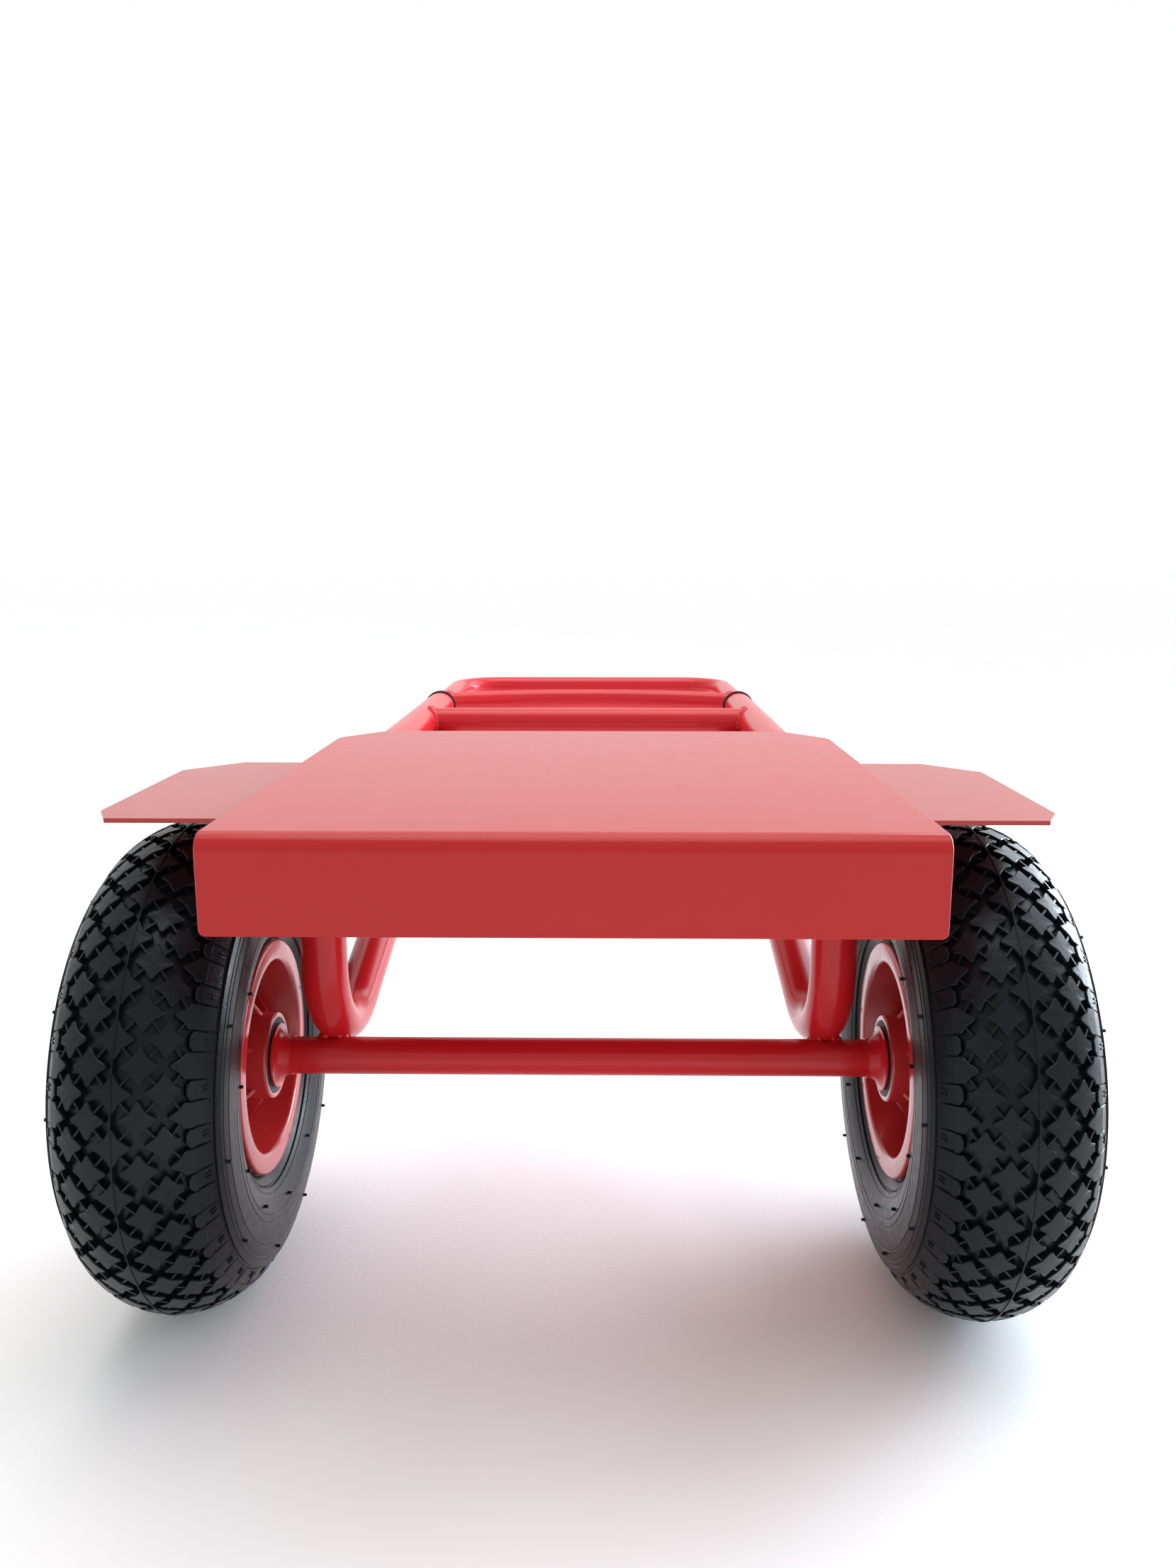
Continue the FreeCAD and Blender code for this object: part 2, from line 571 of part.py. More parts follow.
def makeInnerTube(side, sign, way):
    skin = doc.addObject("Part::Torus", "TubeSkin" + side)
    bind(skin, Radius1="tube_ring_r", Radius2="tube_r")
    placeWheelPart(skin, sign, way)
    air = doc.addObject("Part::Torus", "TubeAir" + side)
    bind(air, Radius1="tube_ring_r", Radius2="tube_r - tube_skin")
    placeWheelPart(air, sign, way)
    node(cut("InnerTube" + side, skin, air), "inner_tube_" + side)


def makeRim(side, sign, way):
    """The moulded wheel: an outer ring with a deep dish on both sides, and inside it the centre
    with its web, hub and radial ribs, fitted face to face."""
    ringBody = newBody("Rim" + side)
    half = "flange_half"
    ringSection = drawn(ringBody, "RimSection" + side, "XZ_Plane", [[
        ("dish_floor_r", "-web_half"), ("dish_r", f"-{half}"), ("flange_r", f"-{half}"),
        ("flange_r", "-flange_in"), ("seat_r", "-flange_in"), ("seat_r", "flange_in"),
        ("flange_r", "flange_in"), ("flange_r", half), ("dish_r", half),
        ("dish_floor_r", "web_half")]])
    revolve(ringBody, ringSection)
    placeWheelPart(ringBody, sign, way)
    hole = valveRound("ValveHole" + side, sign, way, "valve_hole", "hub_bore * 2",
                      "seat_r + tool_past")
    node(cut("ValvedRim" + side, ringBody, hole), "rim_" + side)

    hub = newBody("Hub" + side)
    hubSection = drawn(hub, "HubSection" + side, "XZ_Plane", [[
        ("hub_core", "-bearing_in"), ("hub_bore", "-bearing_in"), ("hub_bore", "-hub_half"),
        ("hub_r", "-hub_half"), ("hub_root_r", "-web_half"), ("dish_floor_r", "-web_half"),
        ("dish_floor_r", "web_half"), ("hub_root_r", "web_half"), ("hub_r", "hub_half"),
        ("hub_bore", "hub_half"), ("hub_bore", "bearing_in"), ("hub_core", "bearing_in")]])
    revolve(hub, hubSection)
    doc.recompute()
    start, root = "hub_r - tool_past", "web_half / 2"
    ribs = drawn(hub, "HubRibs" + side, "XZ_Plane", [
        [(start, f"-{root}"), ("rib_out_r", f"-{root}"), ("rib_out_r", "-rib_rim"),
         (start, "-rib_hub")],
        [(start, root), ("rib_out_r", root), ("rib_out_r", "rib_rim"), (start, "rib_hub")]])
    rib = pad(hub, ribs, "rib_t", midplane=True)
    doc.recompute()
    pattern = hub.newObject("PartDesign::PolarPattern", "RibPattern")
    pattern.Originals = [rib]
    pattern.Axis = (originPlane(hub, "Z_Axis"), [""])
    pattern.Angle = 360
    bind(pattern, Occurrences="rib_count")
    hub.Tip = pattern
    doc.recompute()
    placeWheelPart(hub, sign, way)
    node(cut("FittedHub" + side, hub, ringBody), "wheel_hub_" + side)


def valveRound(name, sign, way, radius, low, high):
    """A cylinder on the valve's line, which points from the axle to the rim."""
    solid = doc.addObject("Part::Cylinder", name)
    bind(solid, Radius=radius, Height=f"{high} - ({low})")
    place(solid, f"{sign}(wheel_x + valve_z)", f"axle_y + ({low}) * sin(valve_turn)",
          f"axle_z + ({low}) * cos(valve_turn)", (-1, 0, 0), "valve_turn")
    return solid


def makeWheelParts(side, sign, way):
    def onAxle(name, outer, inner, near, far):
        start = f"wheel_x + {near}" if way > 0 else f"-wheel_x - ({far})"
        return ring(name + side, outer, inner, f"({far}) - ({near})", start, "axle_y", "axle_z")

    bearings = [
        onAxle("BearingOuter", "bearing_r", "bearing_bore", "bearing_in", "bearing_out"),
        onAxle("BearingInner", "bearing_r", "bearing_bore", "-bearing_out", "-bearing_in")]
    node(grouped("Bearings" + side, bearings), "wheel_bearings_" + side)
    seals = [
        onAxle("SealOuter", "bearing_r", "seal_bore", "bearing_out", "seal_out"),
        onAxle("SealInner", "bearing_r", "seal_bore", "-seal_out", "-bearing_out")]
    node(grouped("Seals" + side, seals), "bearing_seals_" + side)
    spacer = onAxle("Spacer", "spacer_r", "spacer_bore", "-spacer_half", "spacer_half")
    node(spacer, "bearing_spacer_" + side)
    stem = valveRound("Stem" + side, sign, way, "valve_r", "valve_low", "valve_top")
    node(stem, "valve_stem_" + side)
    cap = valveRound("Cap" + side, sign, way, "valve_cap_r", "valve_cap_low", "valve_cap_top")
    node(cap, "valve_cap_" + side)


for side, sign, way in sides:
    makeRail(side, sign)
    makeLeg(side, sign, way)
    makeGuard(side, sign, way)
makeCrossbar()
makeAxle()
makeToePlate()
makeHinge()
makeHandle()
for side, sign, way in sides:
    makeTyre(side, sign, way)
    makeInnerTube(side, sign, way)
    makeRim(side, sign, way)
    makeWheelParts(side, sign, way)

doc.recompute()
for thing in doc.Objects:
    assert not {"Invalid", "Error"} & set(thing.State), f"{thing.Name}: {thing.State}"
for thing in nodes:
    shape = thing.Shape
    assert not shape.isNull() and shape.isValid() and shape.Solids, f"{thing.Label}: bad shape"
    shape.exportStep(f"parts/{thing.Label}.step")
    print(f"{thing.Label}: {len(shape.Solids)} solid(s), {shape.Volume / 1000:.1f} cm3")
box = Part.makeCompound([thing.Shape for thing in nodes]).optimalBoundingBox()
print(f"{len(nodes)} nodes, box {box.XMin:.1f} {box.YMin:.1f} {box.ZMin:.1f} "
      f"to {box.XMax:.1f} {box.YMax:.1f} {box.ZMax:.1f}")
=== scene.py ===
import json
import math
import random
import bpy
from mathutils import Matrix, Vector

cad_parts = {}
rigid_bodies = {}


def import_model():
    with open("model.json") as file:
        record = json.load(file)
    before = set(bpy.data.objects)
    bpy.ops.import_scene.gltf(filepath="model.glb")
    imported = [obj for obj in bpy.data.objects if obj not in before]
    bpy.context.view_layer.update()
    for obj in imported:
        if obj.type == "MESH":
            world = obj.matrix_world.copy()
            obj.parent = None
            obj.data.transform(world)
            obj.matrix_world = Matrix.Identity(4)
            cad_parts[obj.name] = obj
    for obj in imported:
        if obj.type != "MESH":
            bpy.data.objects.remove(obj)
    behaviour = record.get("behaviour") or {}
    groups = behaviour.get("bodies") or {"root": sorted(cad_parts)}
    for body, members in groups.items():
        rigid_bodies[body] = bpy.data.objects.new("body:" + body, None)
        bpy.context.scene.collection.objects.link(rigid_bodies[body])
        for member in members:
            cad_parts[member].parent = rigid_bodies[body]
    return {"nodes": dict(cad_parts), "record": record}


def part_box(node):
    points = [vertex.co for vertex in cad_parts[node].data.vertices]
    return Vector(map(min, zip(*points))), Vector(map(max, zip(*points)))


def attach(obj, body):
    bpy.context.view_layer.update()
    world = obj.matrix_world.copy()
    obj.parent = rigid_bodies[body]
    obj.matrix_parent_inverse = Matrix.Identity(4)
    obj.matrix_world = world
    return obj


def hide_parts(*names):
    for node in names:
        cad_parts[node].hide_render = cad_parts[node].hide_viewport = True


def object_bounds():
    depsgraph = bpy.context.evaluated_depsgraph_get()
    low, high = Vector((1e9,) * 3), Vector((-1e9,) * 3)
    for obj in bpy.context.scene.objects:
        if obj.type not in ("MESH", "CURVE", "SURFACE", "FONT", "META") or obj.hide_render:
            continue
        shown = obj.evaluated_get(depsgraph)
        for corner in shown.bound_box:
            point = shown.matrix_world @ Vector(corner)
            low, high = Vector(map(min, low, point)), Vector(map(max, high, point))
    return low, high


for leftover in list(bpy.data.objects):
    bpy.data.objects.remove(leftover)

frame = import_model()
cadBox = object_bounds()
print("packed truck loaded")


# a shader socket that ordinary arithmetic works on
class Signal:
    def __init__(self, tree, socket=None):
        self.tree = tree
        self.socket = socket

    # one node: its settings first, then the values or links of its sockets
    def add(self, kind, settings=None, inputs=None, output=0):
        node = self.tree.nodes.new(kind)
        for name, setting in (settings or {}).items():
            setattr(node, name, setting)
        for name, given in (inputs or {}).items():
            if isinstance(given, Signal):
                self.tree.links.new(given.socket, node.inputs[name])
            else:
                node.inputs[name].default_value = given
        return Signal(self.tree, node.outputs[output] if node.outputs else None)

    def maths(self, operation, first, second):
        return self.add("ShaderNodeMath", {"operation": operation}, {0: first, 1: second})

    def __add__(self, other):
        return self.maths("ADD", self, other)

    def __radd__(self, other):
        return self.maths("ADD", other, self)

    def __sub__(self, other):
        return self.maths("SUBTRACT", self, other)

    def __rsub__(self, other):
        return self.maths("SUBTRACT", other, self)

    def __mul__(self, other):
        return self.maths("MULTIPLY", self, other)

    def __rmul__(self, other):
        return self.maths("MULTIPLY", other, self)

    def clipped(self, low, high):
        return self.add("ShaderNodeClamp", inputs={"Value": self, "Min": low, "Max": high})

    # a noise pattern, stretched by a factor for each axis
    def noise(self, place, scale, detail=2, stretch=(1, 1, 1)):
        spread = self.add("ShaderNodeMapping", inputs={"Vector": place, "Scale": stretch}, output="Vector")
        return self.add("ShaderNodeTexNoise", inputs={"Vector": spread, "Scale": scale, "Detail": detail})

    def mixedColor(self, share, first, second):
        return self.add("ShaderNodeMix", {"data_type": "RGBA"}, {0: share, 6: first, 7: second}, output=2)


# starts a material and returns its root signal and the place on the piece
def startFinish(name):
    material = bpy.data.materials.new(name)
    material.use_nodes = True
    material.node_tree.nodes.clear()
    graph = Signal(material.node_tree)
    place = graph.add("ShaderNodeTexCoord", output="Object")
    return material, graph, place


# ends a material: what varies is linked, what doesn't is set on the shader
def endFinish(graph, height, depth, **sockets):
    inputs = {name.replace("_", " "): given for name, given in sockets.items()}
    bump = {"Strength": 1.0, "Distance": depth, "Height": height}
    inputs["Normal"] = graph.add("ShaderNodeBump", inputs=bump, output="Normal")
    shader = graph.add("ShaderNodeBsdfPrincipled", inputs=inputs)
    graph.add("ShaderNodeOutputMaterial", inputs={"Surface": shader})


powderLook = {
    "red": (0.62, 0.017, 0.024), "deepRed": (0.54, 0.012, 0.017), "reflectedStreakRed": (0.34, 0.008, 0.011),
    "cloudScale": 9, "fineScale": 70, "gritScale": 2600, "grit": 0.12,
    "peelScale": 480, "peelDepth": 0.00002, "roughLow": 0.17, "roughSpan": 0.06, "roughCloud": 0.06,
    "shine": 0.28, "coat": 0.1, "coatRoughness": 0.06, "streaks": 0.0, "streakSpread": (170, 0.8, 1),
}
# the plate carries the painted reflection streaks
plateLook = dict(powderLook, red=(0.47, 0.017, 0.016), deepRed=(0.44, 0.013, 0.013), streaks=0.14,
                 shine=0.24, peelDepth=0.000012)
# the guards get a paler, less saturated red than the plate: painted sheen standing in for the brighter
# grazing reflection on them
guardLook = dict(plateLook, red=(0.42, 0.042, 0.032), deepRed=(0.38, 0.032, 0.026), shine=0.32)


# glossy powder coat with orange peel; faces that look up can get painted reflection: darker streaks along Y
def powderCoat(name, look):
    material, graph, place = startFinish(name)
    peel = graph.noise(place, look["peelScale"], 2)
    cloud = graph.noise(place, look["cloudScale"], 3)
    fine = graph.noise(place, look["fineScale"], 2)
    grit = graph.noise(place, look["gritScale"], 1)
    color = graph.mixedColor(cloud, (*look["deepRed"], 1), (*look["red"], 1))
    roughness = fine * look["roughSpan"] + (cloud * look["roughCloud"] + look["roughLow"])
    if look["streaks"]:
        # painted reflection: faint darker streaks along Y, only on faces that look up
        facing = graph.add("ShaderNodeTexCoord", output="Normal")
        up = graph.add("ShaderNodeSeparateXYZ", inputs={"Vector": facing}, output="Z").clipped(0, 1)
        marks = (graph.noise(place, 1, 1, look["streakSpread"]) * 2 - 0.5).clipped(0, 1) * up
        color = graph.mixedColor(marks * look["streaks"], color, (*look["reflectedStreakRed"], 1))
    endFinish(graph, peel + grit * look["grit"], look["peelDepth"], Base_Color=color, Roughness=roughness,
              Specular_IOR_Level=look["shine"], Coat_Weight=look["coat"],
              Coat_Roughness=look["coatRoughness"])
    return material


rimLook = {
    "red": (0.5, 0.032, 0.034), "deepRed": (0.42, 0.022, 0.024), "rough": 0.14, "roughSpan": 0.14,
    "flowScale": 55, "flowDepth": 0.00006, "skinScale": 900, "skin": 0.08, "patchScale": 130,
    "coat": 0.3, "coatRoughness": 0.06,
}


# glossy moulded plastic with faint flow marks
def glossPlastic(name, look):
    material, graph, place = startFinish(name)
    flow = graph.noise(place, look["flowScale"], 3)
    skin = graph.noise(place, look["skinScale"], 1)
    color = graph.mixedColor(flow, (*look["deepRed"], 1), (*look["red"], 1))
    roughness = graph.noise(place, look["patchScale"], 3) * look["roughSpan"] + look["rough"]
    endFinish(graph, flow + skin * look["skin"], look["flowDepth"], Base_Color=color, Roughness=roughness,
              Coat_Weight=look["coat"], Coat_Roughness=look["coatRoughness"])
    return material


# both rubber colours are tinted blue as a painted sheen; the pale one is partly bloom, partly painted sheen
rubberLook = {
    "dark": (0.003, 0.0045, 0.0055), "bloomAndBlueSheen": (0.010, 0.014, 0.018), "rough": 0.27, "roughSpan": 0.24,
    "grainScale": 900, "grainDepth": 0.00012, "shine": 0.2, "patchScale": 22, "scuffScale": 180, "scuff": 0.6,
}


# moulded rubber: fine grain, with pale patches that are partly bloom and partly painted bluish sheen
def rubber(name, look):
    material, graph, place = startFinish(name)
    grain = graph.noise(place, look["grainScale"], 3)
    patch = graph.noise(place, look["patchScale"], 4)
    scuff = graph.noise(place, look["scuffScale"], 3)
    share = (patch * 1.3 + scuff * 0.5 - 0.45).clipped(0, 1)
    # painted bluish sheen and bloom, mixed in by patches
    color = graph.mixedColor(share, (*look["dark"], 1), (*look["bloomAndBlueSheen"], 1))
    roughness = scuff * look["roughSpan"] + (patch * 0.12 + look["rough"] - 0.14)
    endFinish(graph, grain + scuff * look["scuff"], look["grainDepth"], Base_Color=color, Roughness=roughness,
              Specular_IOR_Level=look["shine"])
    return material


# plain moulded plastic with a spark-eroded surface
def mattPlastic(name, dark, pale, rough):
    material, graph, place = startFinish(name)
    spark = graph.noise(place, 1500, 3)
    patch = graph.noise(place, 40, 3)
    color = graph.mixedColor(patch, (*dark, 1), (*pale, 1))
    endFinish(graph, spark, 0.00008, Base_Color=color, Roughness=patch * 0.16 + rough,
              Specular_IOR_Level=0.15)
    return material


# plated or ground steel, with turning marks round the X axis
def steel(name, dark, pale, rough, stretch):
    material, graph, place = startFinish(name)
    marks = graph.noise(place, 220, 3, stretch)
    cloud = graph.noise(place, 90, 3)
    color = graph.mixedColor(cloud, (*dark, 1), (*pale, 1))
    endFinish(graph, marks, 0.00005, Base_Color=color, Metallic=1.0, Roughness=marks * 0.2 + rough)
    return material


finishes = {
    "powder_red": powderCoat("redPowderCoat", powderLook),
    "rim_plastic": glossPlastic("redMouldedRim", rimLook),
    "tyre_rubber": rubber("tyreRubber", rubberLook),
    "black_plastic": mattPlastic("blackBush", (0.004, 0.004, 0.005), (0.01, 0.01, 0.011), 0.4),
    "seal_rubber": mattPlastic("greySeal", (0.05, 0.05, 0.054), (0.1, 0.1, 0.105), 0.5),
    "zinc_steel": steel("zincPlate", (0.5, 0.51, 0.53), (0.72, 0.73, 0.74), 0.2, (9, 1, 1)),
    "bearing_steel": steel("groundSteel", (0.42, 0.42, 0.44), (0.6, 0.6, 0.62), 0.18, (12, 1, 1)),
    "spring_steel": steel("bluedSpring", (0.16, 0.18, 0.22), (0.3, 0.32, 0.36), 0.28, (1, 8, 1)),
}
plateFinish = powderCoat("redPlate", plateLook)
guardFinish = powderCoat("redGuard", guardLook)
for part in frame["record"]["subparts"]:
    shown = frame["nodes"][part["node"]]
    for slotIndex in range(len(shown.data.materials)):
        shown.material_slots[slotIndex].material = finishes[part["material_slot"]]
print("finishes made")


def deselectAll():
    for thing in bpy.context.selected_objects:
        thing.select_set(False)


def makeActive(piece):
    deselectAll()
    piece.select_set(True)
    bpy.context.view_layer.objects.active = piece


def editMode(action="SELECT"):
    bpy.ops.object.mode_set(mode="EDIT")
    bpy.ops.mesh.select_all(action=action)


def objectMode():
    bpy.ops.object.mode_set(mode="OBJECT")


# merges doubles, turns the faces outwards and shades by angle
def cleanMesh(piece, angle=35):
    makeActive(piece)
    editMode()
    bpy.ops.mesh.remove_doubles(threshold=0.000005)
    bpy.ops.mesh.normals_make_consistent(inside=False)
    objectMode()
    bpy.ops.object.shade_smooth_by_angle(angle=math.radians(angle))


def joinAll(name, pieces):
    makeActive(pieces[0])
    for piece in pieces:
        piece.select_set(True)
    bpy.ops.object.join()
    joined = bpy.context.object
    joined.name = name
    joined.data.name = name
    return joined


def copyOf(piece, name, matrix=None):
    twin = bpy.data.objects.new(name, piece.data.copy())
    bpy.context.scene.collection.objects.link(twin)
    if matrix is not None:
        twin.data.transform(matrix)
    return twin


# gives a finished piece its material, the finish of its slot unless another is given, hangs it on its body
# and hides the parts that it stands for
def finishPiece(piece, body, slot, replaced=(), material=None):
    piece.data.materials.clear()
    piece.data.materials.append(material or finishes[slot])
    if replaced:
        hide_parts(*replaced)
    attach(piece, body)


# a closed outline of (radius, along X) turned round the X axis
def lathe(name, outline, steps, shadeAngle=35):
    deselectAll()
    bpy.ops.mesh.primitive_circle_add(vertices=len(outline), radius=0.1)
    piece = bpy.context.object
    piece.name = name
    for corner, (across, along) in zip(piece.data.vertices, outline):
        corner.co = (along, 0, across)
    editMode()
    bpy.ops.mesh.spin(steps=steps, angle=2 * math.pi, center=(0, 0, 0), axis=(1, 0, 0))
    objectMode()
    cleanMesh(piece, shadeAngle)
    return piece


# an outline with its corners eased; each corner is (x, y, radius)
def rounded(corners, segments=4):
    outline = []
    for index, (x, y, radius) in enumerate(corners):
        here = Vector((x, y))
        if radius == 0:
            outline.append(here)
            continue
        back = Vector(corners[index - 1][:2]) - here
        onward = Vector(corners[(index + 1) % len(corners)][:2]) - here
        half = back.angle(onward) / 2
        reach = min(radius / math.tan(half), 0.45 * back.length, 0.45 * onward.length)
        start = here + back.normalized() * reach
        end = here + onward.normalized() * reach
        centre = here + (back.normalized() + onward.normalized()).normalized() * (reach / math.cos(half))
        turn = (start - centre).angle_signed(end - centre)
        for step in range(segments + 1):
            arm = start - centre
            arm.rotate(Matrix.Rotation(-turn * step / segments, 2))
            outline.append(centre + arm)
    return [(point.x, point.y) for point in outline]


# middle of a wheel from its tyre's box
def wheelMiddle(side):
    low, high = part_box("tyre_" + side)
    return (low + high) / 2


tyre = {
    "radius": 0.130, "crownArc": 0.0464, "shoulder": (0.119, 0.030), "widest": (0.092, 0.042),
    "bead": (0.0629, 0.033), "highSideArc": 0.034, "lowSideArc": 0.038,
    "beadInner": 0.0585, "beadWidth": 0.020, "cavityArc": 0.031, "steps": 136,
    "pitches": 34, "blockHeight": 0.0042, "rows": (0.0, 0.0116, 0.0228, 0.0335), "barEnd": 0.0460,
    "blockTop": -0.00035, "barTop": -0.0009, "chamfer": 0.00035, "tieHalf": 0.00045, "tieTop": -0.0009,
    "wideBar": 0.0065, "wideInset": 0.0012, "narrowBar": 0.0049, "narrowStart": 0.0326,
    "narrowTip": 0.0023, "narrowSlope": 0.0018, "highEnd": 0.0368,
    "dashAt": 0.0412, "dashLength": 0.0032, "dashApart": 0.0011, "dashLean": 0.0008, "dashRise": 0.0004,
    "crownSteps": 16, "sideSteps": 24, "cavitySteps": 22, "blockSink": 0.0004,
    "partingHalf": 0.00045, "partingSink": 0.0003, "partingTaper": 0.6,
}


# an arc through two points, bulging away from the wheel's middle, as centre, radius and angles
def skinArc(start, end, radius):
    start, end = Vector(start), Vector(end)
    chord = end - start
    outward = Vector((-chord.y, chord.x)).normalized()
    if outward.y < 0:
        outward = -outward
    rise = math.sqrt(radius ** 2 - (chord.length / 2) ** 2)
    centre = (start + end) / 2 - outward * rise
    first = math.atan2(start.y - centre.y, start.x - centre.x)
    last = math.atan2(end.y - centre.y, end.x - centre.x)
    return centre, radius, first, last


crownTop = tyre["radius"]
crownCentre = Vector((crownTop - tyre["crownArc"], 0))
shoulderAngle = math.asin(tyre["shoulder"][1] / tyre["crownArc"])
skinArcs = [
    (crownCentre, tyre["crownArc"], 0.0, shoulderAngle),
    skinArc(tyre["shoulder"], tyre["widest"], tyre["highSideArc"]),
    skinArc(tyre["widest"], tyre["bead"], tyre["lowSideArc"]),
]
skinLength = sum(radius * (last - first) for _, radius, first, last in skinArcs)


# radius and width of the tyre's skin at a distance from its middle line, raised by lift
def onSkin(distance, lift=0.0):
    left = abs(distance)
    for centre, radius, first, last in skinArcs:
        length = radius * (last - first)
        if left <= length or (centre, radius) == skinArcs[-1][:2]:
            angle = first + left / radius
            break
        left -= length
    across = centre.x + (radius + lift) * math.cos(angle)
    along = centre.y + (radius + lift) * math.sin(angle)
    return across, math.copysign(along, distance) if distance else along


sidewall = {
    "barGroove": (0.0462, 0.0472), "barGrooveDepth": 0.0011, "lineDepth": 0.00028, "lineWidth": 0.0005,
    "lines": (0.0505, 0.0530, 0.0580, 0.0690, 0.0730, 0.0840), "beadGroove": 0.0876,
    "beadGrooveDepth": 0.0009, "beadGrooveWidth": 0.0009, "grooveStep": 0.0002, "markClear": 0.0012,
    "vents": 44, "ventAt": (0.0545, 0.0770), "ventHeight": 0.0018, "ventRadius": 0.0009, "ventEase": 0.0002,
    "ventStray": 0.0015, "ventTurnStray": 0.8,
}


# depth of the carcass under the outer shape at a distance from the middle line
def carcassDepth(distance):
    grooveStart, grooveEnd = sidewall["barGroove"]
    if distance <= grooveEnd:
        fade = min(max((distance - tyre["rows"][3]) / (grooveStart - tyre["rows"][3]), 0), 1)
        return tyre["blockHeight"] + (sidewall["barGrooveDepth"] - tyre["blockHeight"]) * fade
    return 0.0


# stations from the middle line to the bead, with pairs of points at each groove and line
def skinStations():
    grooveEnd = sidewall["barGroove"][1]
    count = tyre["crownSteps"]
    stations = [(grooveEnd * step / count, carcassDepth(grooveEnd * step / count))
                for step in range(count + 1)]
    stations.append((grooveEnd + sidewall["grooveStep"], 0.0))
    marks = [(place, sidewall["lineDepth"], sidewall["lineWidth"]) for place in sidewall["lines"]]
    marks.append((sidewall["beadGroove"], sidewall["beadGrooveDepth"], sidewall["beadGrooveWidth"]))
    for place, depth, width in marks:
        stations += [(place - width, 0.0), (place - width / 3, depth), (place + width / 3, depth),
                     (place + width, 0.0)]
    count = tyre["sideSteps"]
    for step in range(1, count + 1):
        place = grooveEnd + (skinLength - grooveEnd) * step / count
        if all(abs(place - mark[0]) > sidewall["markClear"] for mark in marks):
            stations.append((place, 0.0))
    return sorted(stations)


def makeCarcass():
    half = skinStations()
    outline = [onSkin(-place, -depth) for place, depth in reversed(half[1:])]
    outline += [onSkin(place, -depth) for place, depth in half]
    inner, width = tyre["beadInner"], tyre["beadWidth"]
    outline += [(inner, tyre["bead"][1]), (inner, width)]
    ringAt = tyre["widest"][0]
    opening = math.asin(width / tyre["cavityArc"])
    turns = tyre["cavitySteps"]
    for step in range(turns + 1):  # the cavity that holds the inner tube
        angle = math.pi - opening - (2 * math.pi - 2 * opening) * step / turns
        outline.append((ringAt + tyre["cavityArc"] * math.cos(angle), tyre["cavityArc"] * math.sin(angle)))
    outline += [(inner, -width), (inner, -tyre["bead"][1])]
    return lathe("carcass", outline, tyre["steps"], 30)


# one raised block on the flat: outline of (round, across), from floor to top, with an eased rim
def flatBlock(outline, top, chamfer):
    bottom = -tyre["blockHeight"] - tyre["blockSink"]
    deselectAll()
    bpy.ops.mesh.primitive_circle_add(vertices=len(outline), radius=0.01, fill_type="TRIFAN")
    block = bpy.context.object
    middle = sum((Vector(point) for point in outline), Vector((0, 0))) / len(outline)
    corners = block.data.vertices
    hub = next(v.index for v in corners if v.co.length < 0.0001)
    rim = [v for v in corners if v.index != hub]
    for corner, point in zip(rim, outline):
        corner.co = (point[0], point[1], bottom)
    corners[hub].co = (middle.x, middle.y, bottom)
    editMode()
    rise = top - bottom - chamfer
    bpy.ops.mesh.extrude_region_move(TRANSFORM_OT_translate={"value": (0, 0, rise)})
    if chamfer:
        bpy.ops.mesh.inset(thickness=chamfer, use_even_offset=False)
        bpy.ops.transform.translate(value=(0, 0, chamfer))
    objectMode()
    return block


# one quarter of a star's edge, in millimetres: a hollow flank between two blunt tips
quarterStar = ((8.5, 0.35), (8.2, 0.85), (5.9, 2.3), (3.7, 3.7), (2.3, 5.9), (0.85, 8.2), (0.35, 8.5))
bluntTip = {"from": 8, "half": 2.2, "at": 7.4}


# a star; blunt cuts the tip that points away from the middle line when it is 1 or -1
def starOutline(middleRound, middleAcross, blunt=0):
    outline = []
    for turn in range(4):
        for x, y in quarterStar:
            for _ in range(turn):
                x, y = -y, x
            if blunt and blunt * y > bluntTip["from"]:
                x, y = math.copysign(bluntTip["half"], x), blunt * bluntTip["at"]
            outline.append((middleRound + x / 1000, middleAcross + y / 1000))
    return [point for index, point in enumerate(outline) if point != outline[index - 1]]


def mirroredOutline(half, middleRound, sign):
    outline = half + [(-x, y) for x, y in reversed(half) if x > 0]
    outline = [(middleRound + x, sign * y) for x, y in outline]
    return outline if sign > 0 else outline[::-1]


# the inner half of an outermost star, and the two kinds of shoulder bar
def halfStarOutline(middleRound, sign):
    row = tyre["rows"][3]
    half = [(x / 1000, row - y / 1000) for x, y in reversed(quarterStar[2:])]
    width, end = tyre["wideBar"], tyre["highEnd"]
    half += [(width, row - tyre["wideInset"]), (width, end), (0, end)]
    return mirroredOutline(half, middleRound, sign)


def wideBarOutline(middleRound, sign):
    width, start, end = tyre["wideBar"], tyre["rows"][3] - tyre["wideInset"], tyre["barEnd"]
    half = [(0, start), (width, start), (width, (start + end) / 2), (width, end), (0, end)]
    return mirroredOutline(half, middleRound, sign)


def narrowBarOutline(middleRound, sign, end):
    width, start = tyre["narrowBar"], tyre["narrowStart"]
    half = [(0, start), (tyre["narrowTip"], start), (width, start + tyre["narrowSlope"]),
            (width, end), (0, end)]
    return mirroredOutline(half, middleRound, sign)


# a thin bar between the hollow flanks of two stars
def tieOutline(start, end):
    start, end = Vector(start), Vector(end)
    along = (end - start).normalized()
    side = Vector((-along.y, along.x)) * tyre["tieHalf"]
    return [tuple(start - side), tuple(end - side), tuple(end + side), tuple(start + side)]


